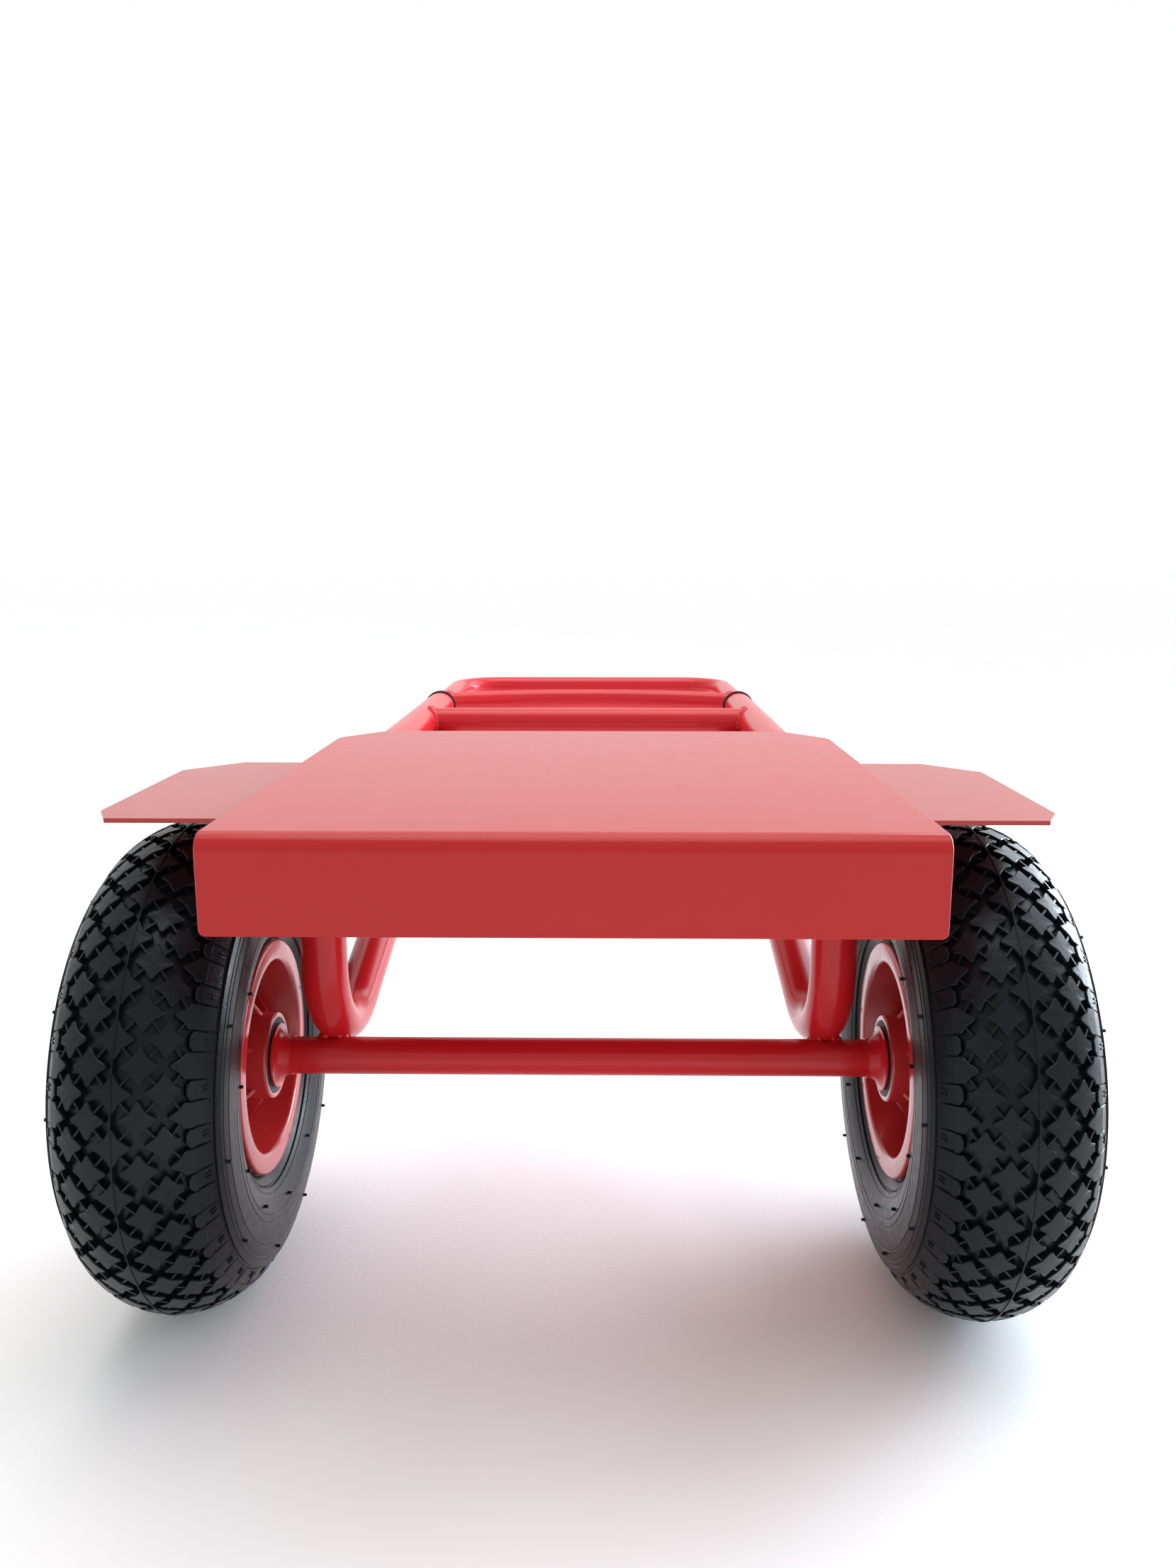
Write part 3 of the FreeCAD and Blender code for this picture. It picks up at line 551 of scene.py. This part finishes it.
def treadPatch():
    pitch = 2 * math.pi * tyre["radius"] / tyre["pitches"]
    top, low, chamfer = tyre["blockTop"], tyre["barTop"], tyre["chamfer"]
    flank = Vector(quarterStar[3]) / 1000
    blocks = [flatBlock(starOutline(0, 0), top, chamfer)]
    for sign in (-1, 1):
        blocks.append(flatBlock(starOutline(pitch / 2, sign * tyre["rows"][1]), top, chamfer))
        blocks.append(flatBlock(starOutline(0, sign * tyre["rows"][2], sign), top, chamfer))
        blocks.append(flatBlock(halfStarOutline(pitch / 2, sign), top, chamfer))
        blocks.append(flatBlock(wideBarOutline(pitch / 2, sign), low, chamfer))
        blocks.append(flatBlock(narrowBarOutline(0, sign, tyre["highEnd"]), top, chamfer))
        blocks.append(flatBlock(narrowBarOutline(0, sign, tyre["barEnd"]), low, chamfer))
        for way in (-1, 1):
            start = (way * tyre["dashApart"], sign * tyre["dashAt"])
            end = (way * tyre["dashApart"] + tyre["dashLean"],
                   sign * (tyre["dashAt"] + tyre["dashLength"]))
            blocks.append(flatBlock(tieOutline(start, end), low + tyre["dashRise"], 0))
        for index in range(3):
            near, far = tyre["rows"][index], tyre["rows"][index + 1]
            middle = pitch / 2 * (index % 2)
            for way in (-1, 1):
                start = (middle + way * flank.x, sign * (near + flank.y))
                end = (middle + way * (pitch / 2 - flank.x), sign * (far - flank.y))
                blocks.append(flatBlock(tieOutline(start, end), tyre["tieTop"], 0))
    return joinAll("treadPatch", blocks), pitch


# repeats the flat patch and bends it round the crown
def makeTread():
    patch, pitch = treadPatch()
    makeActive(patch)
    repeat = patch.modifiers.new("pitches", "ARRAY")
    repeat.count = tyre["pitches"]
    repeat.use_relative_offset = False
    repeat.use_constant_offset = True
    repeat.constant_offset_displace = (pitch, 0, 0)
    bpy.ops.object.modifier_apply(modifier=repeat.name)
    for vertex in patch.data.vertices:
        turn = vertex.co.x / tyre["radius"]
        across, along = onSkin(vertex.co.y, vertex.co.z)
        vertex.co = (along, across * math.sin(turn), across * math.cos(turn))
    makeActive(patch)
    editMode()
    bpy.ops.mesh.normals_make_consistent(inside=False)
    objectMode()
    bpy.ops.object.shade_smooth_by_angle(angle=math.radians(28))
    return patch


# the thin flash line that the mould leaves round the middle of the tread
def partingLine():
    low, high = tyre["radius"] - tyre["blockHeight"] - tyre["partingSink"], tyre["radius"]
    half = tyre["partingHalf"]
    top = half * tyre["partingTaper"]
    return lathe("partingLine", [(low, -half), (high, -top), (high, top), (low, half)], tyre["steps"], 30)


# small nubs left by the mould's air holes on both sidewalls
def ventNubs():
    chance = random.Random(7)
    stray = sidewall["ventStray"]
    nubs = []
    for number in range(sidewall["vents"]):
        sign = -1 if number % 2 else 1
        place = sidewall["ventAt"][number // 2 % 2] + chance.uniform(-stray, stray)
        turn = 2 * math.pi * (number + chance.uniform(0, sidewall["ventTurnStray"])) / sidewall["vents"]
        across, along = onSkin(sign * place)
        deselectAll()
        bpy.ops.mesh.primitive_cylinder_add(
            vertices=8, radius=sidewall["ventRadius"], depth=2 * sidewall["ventHeight"],
            rotation=(0, math.pi / 2, 0),
            location=(along, across * math.sin(turn), across * math.cos(turn)))
        bpy.ops.object.transform_apply(location=True, rotation=True, scale=True)
        nub = bpy.context.object
        editMode()
        bpy.ops.mesh.bevel(offset=sidewall["ventEase"], segments=1)
        objectMode()
        nubs.append(nub)
    return nubs


def makeTyres():
    whole = joinAll("tyreMoulding", [makeCarcass(), makeTread(), partingLine()] + ventNubs())
    for side in ("left", "right"):
        piece = copyOf(whole, "tyre_moulded_" + side, Matrix.Translation(wheelMiddle(side)))
        finishPiece(piece, "wheel_" + side, "tyre_rubber", ["tyre_" + side])
    bpy.data.objects.remove(whole)
    print("tyres made, triangles each:", sum(len(f.vertices) - 2 for f in piece.data.polygons))


rim = {
    "core": 0.011, "coreHalf": 0.0247, "bore": 0.020, "hub": 0.023, "hubHalf": 0.0375, "hubRoot": 0.024,
    "webHalf": 0.005, "floor": 0.046, "dish": 0.0515, "half": 0.0365, "flange": 0.0625,
    "flangeInner": 0.0332, "seat": 0.0584, "steps": 120,
    "ribThick": 0.0036, "ribHub": 0.031, "ribRim": 0.013, "ribEnd": 0.0478, "ribCount": 6,
    "ribSink": 0.0005, "ribTopShare": 0.8, "ribFootShare": 1.25, "ribEase": 0.0009,
    "valveAngle": 30, "valveOut": 0.016, "bossRadius": 0.0062, "bossDepth": 0.008, "bossEase": 0.001,
    "bossLift": 0.0035,
}


def rimOutline():
    quarter = [
        (rim["core"], rim["coreHalf"], 0), (rim["bore"], rim["coreHalf"], 0),
        (rim["bore"], rim["hubHalf"], 0.0009), (rim["hub"], rim["hubHalf"], 0.0013),
        (rim["hubRoot"], rim["webHalf"], 0.003), (rim["floor"], rim["webHalf"], 0.006),
        (rim["dish"], rim["half"], 0.0028), (rim["flange"], rim["half"], 0.0015),
        (rim["flange"], rim["flangeInner"], 0.0006), (rim["seat"], rim["flangeInner"], 0)]
    other = [(across, -along, radius) for across, along, radius in reversed(quarter)]
    return rounded(quarter + other, 5)


# one rib on each face of the web: a slab whose top falls from the hub to the rim
def rimRib(sign):
    deselectAll()
    length = rim["ribEnd"] - rim["hub"] + rim["ribSink"]
    middle = (rim["ribEnd"] + rim["hub"] - rim["ribSink"]) / 2
    bpy.ops.mesh.primitive_cube_add(size=1)
    rib = bpy.context.object
    for vertex in rib.data.vertices:
        outer, high = vertex.co.z > 0, vertex.co.x > 0
        top = rim["ribRim"] if outer else rim["ribHub"]
        share = rim["ribTopShare"] if high else rim["ribFootShare"]
        vertex.co = (sign * (top if high else rim["webHalf"] / 2), vertex.co.y * rim["ribThick"] * share,
                     middle + vertex.co.z * length)
    cleanMesh(rib)
    editMode("DESELECT")
    objectMode()
    for edge in rib.data.edges:
        ends = [rib.data.vertices[i].co for i in edge.vertices]
        edge.select = all(abs(end.x) > rim["webHalf"] for end in ends)
    bpy.ops.object.mode_set(mode="EDIT")
    bpy.ops.mesh.bevel(offset=rim["ribEase"], segments=3)
    objectMode()
    return rib


# a raised boss in the dish wall round the valve, seen from outside
def valveBoss():
    angle = math.radians(rim["valveAngle"])
    deselectAll()
    bpy.ops.mesh.primitive_cylinder_add(vertices=32, radius=rim["bossRadius"], depth=rim["bossDepth"])
    boss = bpy.context.object
    editMode()
    bpy.ops.mesh.bevel(offset=rim["bossEase"], segments=3)
    objectMode()
    boss.data.transform(Matrix.Rotation(-angle, 4, "X") @ Matrix.Translation(
        (rim["valveOut"], 0, rim["floor"] + rim["bossLift"])))
    return boss


def makeRims():
    parts = [lathe("rimRing", rimOutline(), rim["steps"], 40)]
    for sign in (-1, 1):
        rib = rimRib(sign)
        for number in range(rim["ribCount"]):
            parts.append(copyOf(rib, "rib", Matrix.Rotation(2 * math.pi * number / rim["ribCount"], 4, "X")))
        bpy.data.objects.remove(rib)
    parts.append(valveBoss())
    whole = joinAll("rimMoulding", parts)
    makeActive(whole)
    bpy.ops.object.shade_smooth_by_angle(angle=math.radians(40))
    for side, turn in (("left", math.pi), ("right", 0)):
        placed = Matrix.Translation(wheelMiddle(side)) @ Matrix.Rotation(turn, 4, "Z")
        piece = copyOf(whole, "rim_moulded_" + side, placed)
        finishPiece(piece, "wheel_" + side, "rim_plastic", ["rim_" + side, "wheel_hub_" + side])
    bpy.data.objects.remove(whole)
    print("rims made")


flare = {"bore": 0.00805, "tube": 0.0103, "edge": 0.017, "reach": 0.009, "lipThick": 0.0013,
         "easeAcross": 0.0004, "easeAlong": 0.0003, "curveSteps": 10, "steps": 72}


# the axle tube's flared ends beside the hubs, with a hollow fillet
def makeFlares():
    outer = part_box("axle_inner_washers")[1].x
    axle = (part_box("axle_rod")[0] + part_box("axle_rod")[1]) / 2
    curve = flare["reach"] - flare["lipThick"]
    outline = [(flare["bore"], outer), (flare["bore"], outer - flare["reach"])]
    for step in range(flare["curveSteps"] + 1):
        angle = math.pi / 2 * step / flare["curveSteps"]
        outline.append((flare["edge"] - (flare["edge"] - flare["tube"]) * math.cos(angle),
                        outer - flare["reach"] + curve * math.sin(angle)))
    outline += [(flare["edge"], outer - flare["easeAlong"]), (flare["edge"] - flare["easeAcross"], outer)]
    right = lathe("flareRight", outline, flare["steps"], 50)
    left = copyOf(right, "flareLeft", Matrix.Rotation(math.pi, 4, "Z"))
    piece = joinAll("axle_flares", [right, left])
    piece.data.transform(Matrix.Translation((0, axle.y, axle.z)))
    finishPiece(piece, "frame", "powder_red", ["axle_inner_washers"])
    print("axle flares made")


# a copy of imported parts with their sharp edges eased
def softened(name, node, width, segments, body, slot, material=None):
    source = frame["nodes"][node]
    piece = copyOf(source, name)
    makeActive(piece)
    bpy.ops.mesh.customdata_custom_splitnormals_clear()
    editMode()
    bpy.ops.mesh.remove_doubles(threshold=0.000005)
    bpy.ops.mesh.dissolve_limited(angle_limit=math.radians(0.5))
    objectMode()
    ease = piece.modifiers.new("ease", "BEVEL")
    ease.width = width
    ease.segments = segments
    ease.limit_method = "ANGLE"
    ease.angle_limit = math.radians(40)
    ease.harden_normals = False
    bpy.ops.object.modifier_apply(modifier=ease.name)
    bpy.ops.object.shade_smooth_by_angle(angle=math.radians(40))
    even = piece.modifiers.new("even", "WEIGHTED_NORMAL")
    even.keep_sharp = True
    bpy.ops.object.modifier_apply(modifier=even.name)
    finishPiece(piece, body, slot, [node], material)
    return piece


sheetEdges = {"plateEase": 0.0009, "guardEase": 0.0007, "ringEase": 0.0012, "lugEase": 0.0004,
              "boltEase": 0.0003}


def makeSheets():
    softened("toe_plate_sheet", "toe_plate", sheetEdges["plateEase"], 3, "toe", "powder_red", plateFinish)
    for side in ("left", "right"):
        softened("wheel_guard_sheet_" + side, "wheel_guard_" + side, sheetEdges["guardEase"], 3,
                 "frame", "powder_red", guardFinish)
        softened("guide_ring_" + side, "guide_bush_" + side, sheetEdges["ringEase"], 3,
                 "frame", "black_plastic")
        for end in ("outer", "inner"):
            softened(f"hinge_ear_{side}_{end}", f"toe_lug_{side}_{end}", sheetEdges["lugEase"], 2,
                     "toe", "powder_red")
    softened("hinge_bolt_pair", "hinge_bolts", sheetEdges["boltEase"], 2, "frame", "zinc_steel")
    softened("hinge_nut_pair", "hinge_nuts", sheetEdges["boltEase"], 2, "frame", "zinc_steel")
    print("sheets and rings made")


weld = {"step": 0.0024, "width": 0.0048, "height": 0.0017, "tilt": 22, "waver": 0.00025,
        "lengthShare": 0.95, "seamSteps": 180, "padSteps": 24}


# one ripple of a weld, flat underneath and leaning along the seam
def weldRipple():
    deselectAll()
    bpy.ops.mesh.primitive_uv_sphere_add(segments=12, ring_count=6, radius=1)
    ripple = bpy.context.object
    ripple.name = "weldRipple"
    lean = Matrix.Rotation(math.radians(weld["tilt"]), 4, "Y")
    size = Matrix.Diagonal((weld["step"] * weld["lengthShare"], weld["width"] / 2, weld["height"], 1))
    ripple.data.transform(lean @ size)
    bpy.ops.object.shade_smooth()
    return ripple


# lays ripples along a seam of (place, outward direction) pairs
def weldSeam(ripple, seam, closed, chance):
    beads = []
    places = [point for point, _ in seam]
    for index, (point, outward) in enumerate(seam):
        following = places[(index + 1) % len(places)] if closed or index + 1 < len(places) else point
        before = places[index - 1] if closed or index else point
        along = (following - before).normalized()
        outward = (outward - along * outward.dot(along)).normalized()
        side = outward.cross(along)
        spot = point + outward * chance.uniform(-weld["waver"], weld["waver"])
        turned = Matrix((along, side, outward)).transposed().to_4x4()
        beads.append(copyOf(ripple, "bead", Matrix.Translation(spot) @ turned))
    return beads


# where a round bar's skin meets a round tube: start of the bar's axis, its direction and radius,
# then a place on the tube's axis, its direction and radius
def tubeSeam(start, way, radius, tubeAt, tubeWay, tubeRadius):
    way = way.normalized()
    across = way.cross(Vector((0.31, 0.17, 0.93))).normalized()  # any way that no bar follows
    up = way.cross(across)

    def flat(vector):
        return vector - tubeWay * vector.dot(tubeWay)

    dense = []
    for step in range(weld["seamSteps"]):
        angle = 2 * math.pi * step / weld["seamSteps"]
        skin = across * math.cos(angle) + up * math.sin(angle)
        offset = flat(start + skin * radius - tubeAt)
        run = flat(way)
        middle = offset.dot(run) / run.length_squared
        inside = middle ** 2 - (offset.length_squared - tubeRadius ** 2) / run.length_squared
        reach = -middle - math.sqrt(max(inside, 0))
        point = start + skin * radius + way * reach
        outward = flat(point - tubeAt).normalized() + skin
        dense.append((point, outward.normalized()))
    return evenly(dense)


# a disc that closes the upper end of a stay
def stayCap(end, way, radius):
    deselectAll()
    bpy.ops.mesh.primitive_cylinder_add(vertices=48, radius=radius, depth=joints["capThick"])
    cap = bpy.context.object
    editMode()
    bpy.ops.mesh.bevel(offset=joints["capThick"] / 4, segments=2)
    objectMode()
    cap.data.transform(Matrix.Translation(end - way * joints["capThick"] / 2)
                       @ way.to_track_quat("Z", "Y").to_matrix().to_4x4())
    cleanMesh(cap)
    return cap


# picks places along a dense seam that lie one ripple apart
def evenly(dense):
    picked, walked = [dense[0]], 0.0
    for (before, _), (point, outward) in zip(dense, dense[1:]):
        walked += (point - before).length
        if walked >= weld["step"]:
            picked.append((point, outward))
            walked = 0.0
    return picked


def lineSeam(start, end, outward):
    count = max(2, round((end - start).length / weld["step"]))
    return [(start.lerp(end, step / count), outward) for step in range(count + 1)]


joints = {"stayRise": 20, "stayLean": 2.45, "stayRun": 0.313, "legRadius": 0.012, "legStart": 0.2,
          "barTurn": 25.2, "gripInset": 0.009, "gripBack": 0.03, "handleRadius": 0.0095,
          "padAcross": 0.0078, "padAlong": 0.0068, "padLift": 0.0014, "padGap": 0.0006,
          "bendRadius": 0.045, "bendAt": (-0.219, 0.185), "barClear": 0.002,
          "stitch": 0.026, "stitchAt": (0.08, 0.42, 0.76), "stitchOut": 0.6,
          "capThick": 0.0016, "capInset": 0.0001}


def makeWelds():
    chance = random.Random(3)
    ripple = weldRipple()
    alongY = Vector((0, 1, 0))
    frameBeads, handleBeads = [], []
    axleLow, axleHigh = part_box("axle_tube")
    axleAt = (axleLow + axleHigh) / 2
    axleRadius = (axleHigh.z - axleLow.z) / 2
    barLow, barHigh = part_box("frame_crossbar")
    barAt = (barLow + barHigh) / 2
    for sign, side in ((-1, "left"), (1, "right")):
        railLow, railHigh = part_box("rail_" + side)
        railAt = (railLow + railHigh) / 2
        railRadius = (railHigh.z - railLow.z) / 2
        barRadius = (barHigh.z - barLow.z) / 2
        seams = [tubeSeam(barAt, Vector((sign, 0, 0)), barRadius, railAt, alongY, railRadius)]
        legRadius = joints["legRadius"]
        legAt = Vector((railAt.x, joints["bendAt"][0] - joints["bendRadius"], joints["legStart"]))
        seams.append(tubeSeam(legAt, Vector((0, 0, 1)), legRadius, railAt, alongY, railRadius))
        rise, lean = math.radians(joints["stayRise"]), math.radians(joints["stayLean"])
        bendEnd = Vector((0, joints["bendAt"][0] + joints["bendRadius"] * math.sin(rise),
                          joints["bendAt"][1] - joints["bendRadius"] * math.cos(rise)))
        stayWay = Vector((-sign * math.sin(lean) * math.cos(rise), math.cos(lean) * math.cos(rise),
                          math.sin(rise)))
        stayAt = Vector((railAt.x - sign * (bendEnd.y - legAt.y) * math.tan(lean), bendEnd.y, bendEnd.z))
        staySeam = tubeSeam(stayAt, stayWay, legRadius, railAt, alongY, railRadius)
        seams.append([(point, outward) for point, outward in staySeam
                      if point.y < barLow.y - joints["barClear"]])
        for seam in seams:
            frameBeads += weldSeam(ripple, seam, True, chance)
        frameBeads.append(stayCap(stayAt + stayWay * joints["stayRun"], stayWay,
                                  legRadius - joints["capInset"]))
        towards = Vector((0, axleAt.y - joints["bendAt"][0], axleAt.z - joints["bendAt"][1])).normalized()
        contact = Vector((railAt.x, axleAt.y, axleAt.z)) - towards * (axleRadius + joints["padGap"])
        tangent = Vector((0, -towards.z, towards.y))
        pad = []
        for step in range(weld["padSteps"]):
            angle = 2 * math.pi * step / weld["padSteps"]
            reach = Vector((joints["padAcross"] * math.cos(angle), 0, 0)) + tangent * (
                joints["padAlong"] * math.sin(angle))
            lift = towards * joints["padLift"] * abs(math.cos(angle))
            pad.append((contact + reach + lift, reach.normalized()))
        frameBeads += weldSeam(ripple, evenly(pad), True, chance)
        guardLow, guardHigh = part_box("wheel_guard_" + side)
        seamX = railAt.x + sign * math.sqrt(railRadius ** 2 - (guardLow.z - railAt.z) ** 2)
        for share in joints["stitchAt"]:
            start = guardLow.y + (guardHigh.y - guardLow.y) * share
            seam = lineSeam(Vector((seamX, start, guardLow.z)),
                            Vector((seamX, start + joints["stitch"], guardLow.z)),
                            Vector((sign * joints["stitchOut"], 0, -1)))
            frameBeads += weldSeam(ripple, seam, False, chance)
        gripLow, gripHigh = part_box("handle_crossbar")
        turn = math.radians(joints["barTurn"])
        gripWay = Vector((sign * math.cos(turn), -math.sin(turn), 0))
        gripAt = (Vector((railAt.x, gripLow.y + joints["gripInset"], railAt.z))
                  - gripWay * joints["gripBack"])
        seam = tubeSeam(gripAt, gripWay, (gripHigh.z - gripLow.z) / 2, railAt, alongY, joints["handleRadius"])
        handleBeads += weldSeam(ripple, seam, True, chance)
    bpy.data.objects.remove(ripple)
    finishPiece(joinAll("frame_welds", frameBeads), "frame", "powder_red")
    finishPiece(joinAll("handle_welds", handleBeads), "handle", "powder_red")
    print("welds and caps made:", len(frameBeads) + len(handleBeads))


makeTyres()
makeRims()
makeFlares()
makeSheets()
makeWelds()


studio = {
    "floorSize": 60, "floorColor": (0.9, 0.9, 0.9),
    "skyBehind": (1.0, 1.0, 1.0), "skyInFront": (0.68, 0.68, 0.68),
    "overheadPower": 9, "overheadPlace": (-0.2, 0.7, 2.2), "overheadSize": 1.6,
    "overheadColor": (1, 0.98, 0.95),
    "sidePower": 80, "sidePlace": (1.9, 1.0, 1.3), "sideSize": 2.6, "sideColor": (0.78, 0.89, 1),
    "lowPower": 26, "lowPlace": (1.6, 0.75, 0.42), "lowSize": 0.75, "lowColor": (0.78, 0.89, 1),
    "sunPower": 0.8, "sunAngle": 40,
}


def makeStudio():
    deselectAll()
    bpy.ops.mesh.primitive_plane_add(size=studio["floorSize"], location=(0, 0, cadBox[0].z))
    floor = bpy.context.object
    floor.name = "floor"
    bpy.ops.object.transform_apply(location=True, rotation=True, scale=True)
    material, graph, place = startFinish("paleFloor")
    cloud = graph.noise(place, 3, 3)
    tone = graph.mixedColor(cloud, (*[c * 0.97 for c in studio["floorColor"]], 1), (*studio["floorColor"], 1))
    endFinish(graph, graph.noise(place, 400, 2), 0.0001, Base_Color=tone, Roughness=cloud * 0.1 + 0.6)
    floor.data.materials.append(material)
    world = bpy.data.worlds.new("paleRoom")
    bpy.context.scene.world = world
    world.use_nodes = True
    world.node_tree.nodes.clear()
    sky = Signal(world.node_tree)
    way = sky.add("ShaderNodeTexCoord", output="Generated")
    behind = (sky.add("ShaderNodeSeparateXYZ", inputs={"Vector": way}, output="Y") * 0.9 + 0.6).clipped(0, 1)
    glow = sky.mixedColor(behind, (*studio["skyInFront"], 1), (*studio["skyBehind"], 1))
    room = sky.add("ShaderNodeBackground", inputs={"Color": glow, "Strength": 1.0})
    sky.add("ShaderNodeOutputWorld", inputs={"Surface": room})
    middle = (cadBox[0] + cadBox[1]) / 2
    for name in ("overhead", "side", "low"):
        deselectAll()
        bpy.ops.object.light_add(type="AREA", location=studio[name + "Place"])
        lamp = bpy.context.object
        lamp.name = name + "Softbox"
        lamp.data.energy = studio[name + "Power"]
        lamp.data.size = studio[name + "Size"]
        lamp.data.color = studio[name + "Color"]
        lamp.rotation_euler = (middle - lamp.location).to_track_quat("-Z", "Y").to_euler()
    deselectAll()
    bpy.ops.object.light_add(type="SUN", location=(0, 0, 3))
    sun = bpy.context.object
    sun.name = "softTop"
    sun.data.energy = studio["sunPower"]
    sun.data.angle = math.radians(studio["sunAngle"])
    print("studio made")


camera = {"place": (0.013, -0.8564, 0.3942), "pitch": 79.34, "yaw": 0.76, "lens": 27.05, "sensor": 36}


def makeCamera():
    deselectAll()
    bpy.ops.object.camera_add(location=camera["place"],
                              rotation=(math.radians(camera["pitch"]), 0, math.radians(camera["yaw"])))
    view = bpy.context.object
    view.data.lens = camera["lens"]
    view.data.sensor_width = camera["sensor"]
    view.data.clip_start = 0.01
    bpy.context.scene.camera = view
    bpy.context.scene.view_settings.view_transform = "Standard"


makeStudio()
makeCamera()
